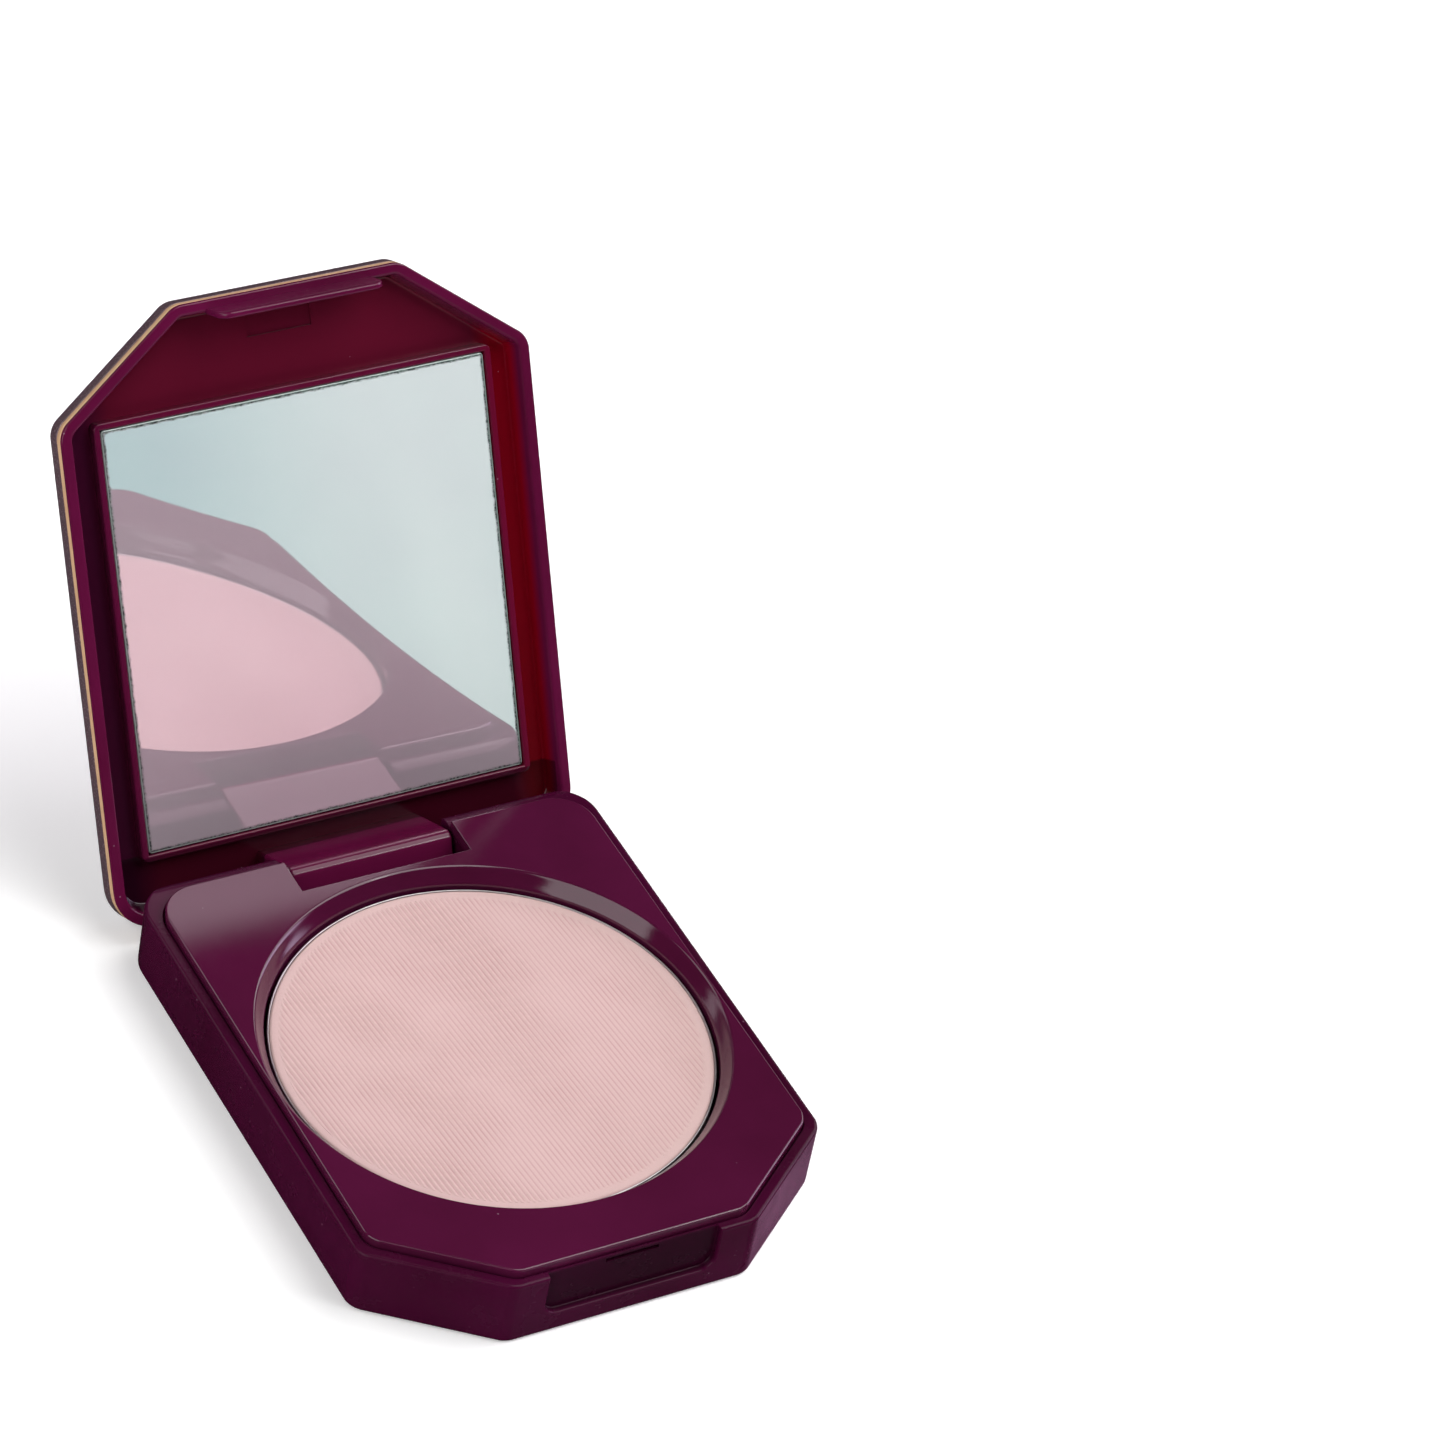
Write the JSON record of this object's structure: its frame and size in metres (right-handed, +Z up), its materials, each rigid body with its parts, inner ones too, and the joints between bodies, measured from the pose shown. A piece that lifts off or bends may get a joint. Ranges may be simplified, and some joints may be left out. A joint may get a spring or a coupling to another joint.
{
  "type": "powder compact",
  "caption": "Pressed-powder compact with a hinged mirror lid, chamfered front corners, a latch tab on the lid and a thumb recess in the base.",
  "frame": {"origin": "middle of the flat underside", "axes": "+Z up, +Y towards the hinge, X along the hinge pins"},
  "size_m": [0.0684, 0.1241, 0.0761],
  "materials": {
    "plum_plastic": "polished plum plastic",
    "rose_gold": "metallised rose gold",
    "taupe_pearl": "pearl lacquer",
    "pan_metal": "bright drawn metal",
    "pin_steel": "ground",
    "powder": "matte pressed powder",
    "mirror": "silvered glass",
    "adhesive": "glue"
  },
  "bodies": {
    "base": {"base_shell": "plum_plastic", "base_deck": "plum_plastic", "pan_adhesive": "adhesive", "powder_pan": "pan_metal", "pressed_powder": "powder", "hinge_pin_left": "pin_steel", "hinge_pin_right": "pin_steel"},
    "lid": {"lid_inner_shell": "plum_plastic", "lid_trim_ring": "rose_gold", "lid_outer_cover": "taupe_pearl", "mirror_glass": "mirror", "mirror_adhesive": "adhesive"}
  },
  "joints": [
    {"name": "lid_hinge", "type": "hinge", "parent": "base", "child": "lid", "pos_m": [0, 0.03831, 0.0063], "axis": [1, 0, 0], "range_deg": [0, 118]}
  ]
}
